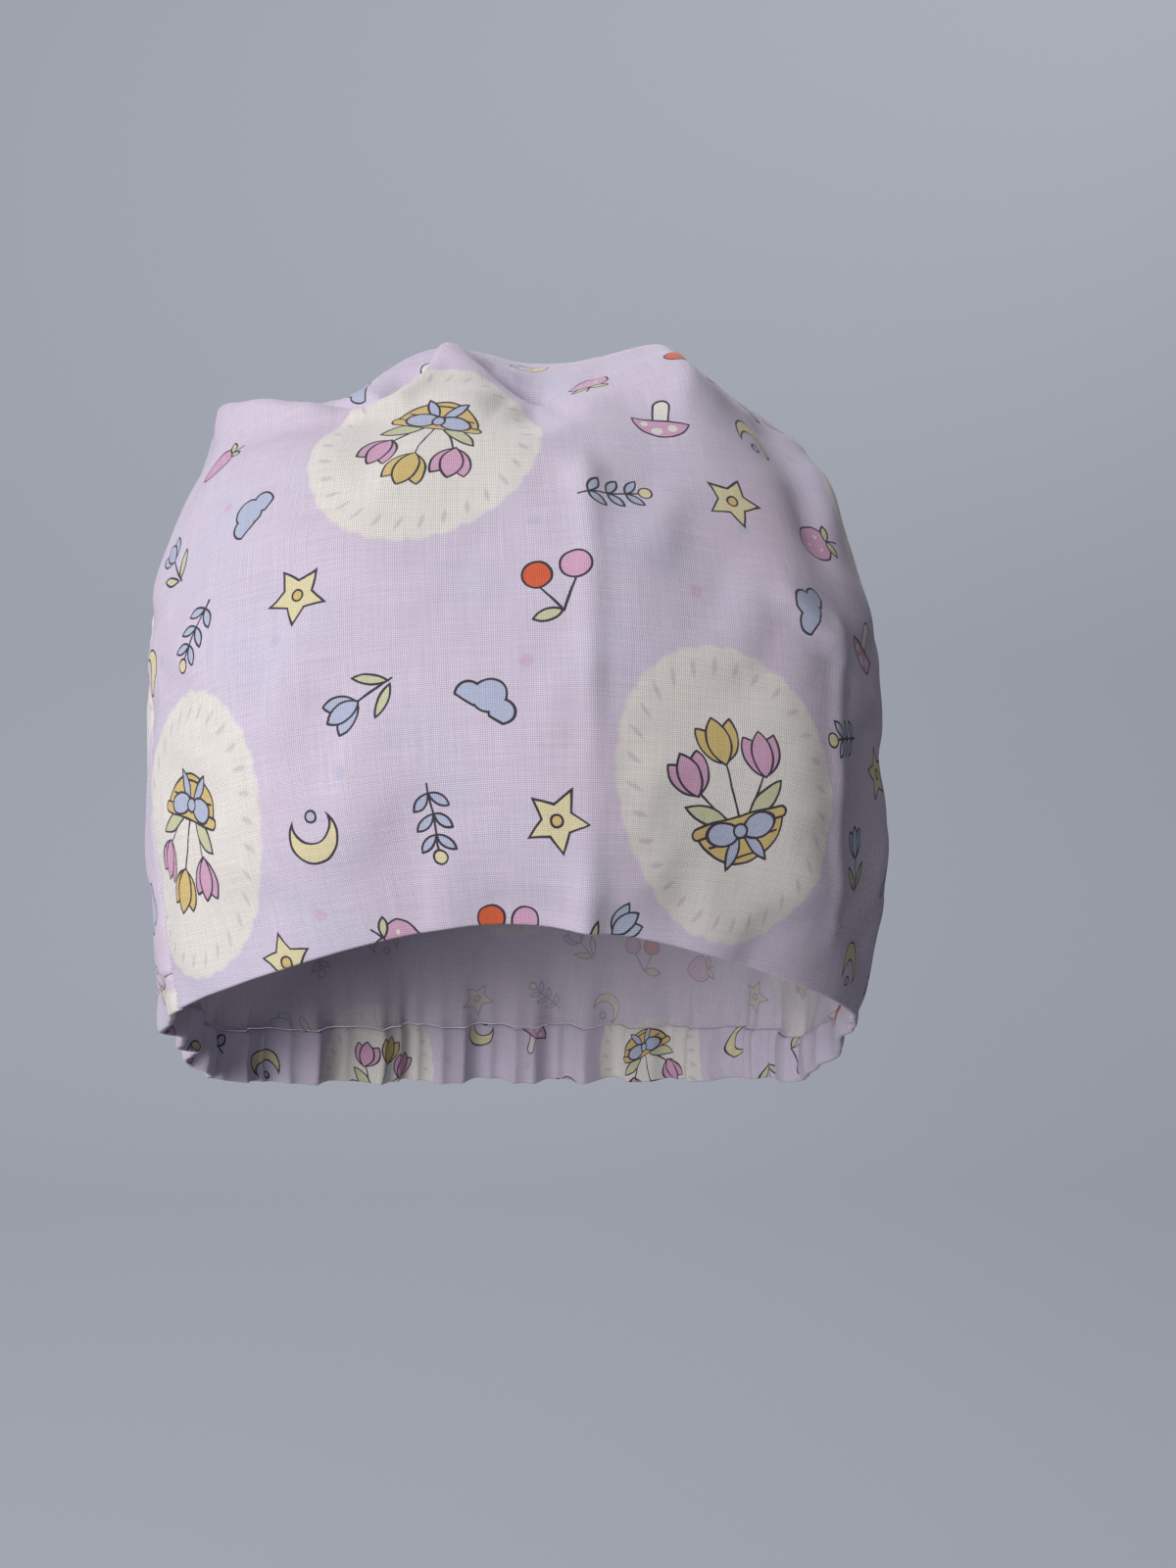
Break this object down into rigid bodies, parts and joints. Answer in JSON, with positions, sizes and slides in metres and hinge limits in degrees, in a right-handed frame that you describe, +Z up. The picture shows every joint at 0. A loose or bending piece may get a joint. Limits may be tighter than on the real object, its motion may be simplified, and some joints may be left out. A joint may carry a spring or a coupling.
{
  "type": "scrub cap",
  "caption": "Cloth scrub cap in its worn form: broad front panel with a turned hem, full back panel and an elastic-gathered nape casing, hollow for the head.",
  "frame": {"origin": "on the head's vertical axis, level with the middle of the front hem, where the cap sits on a head", "axes": "+Z up along the head's axis, -Y to the front of the cap, +X to the right in a front view"},
  "size_m": [0.1865, 0.2025, 0.2418],
  "materials": {
    "front_panel": "matt plain-weave cotton, printed",
    "front_hem": "matt plain-weave cotton, wrong side",
    "back_panel": "matt plain-weave cotton, printed",
    "nape_casing": "matt plain-weave cotton, gathered"
  },
  "bodies": {
    "root": {"front_panel": "front_panel", "front_hem": "front_hem", "back_panel": "back_panel", "nape_casing": "nape_casing"}
  },
  "joints": []
}
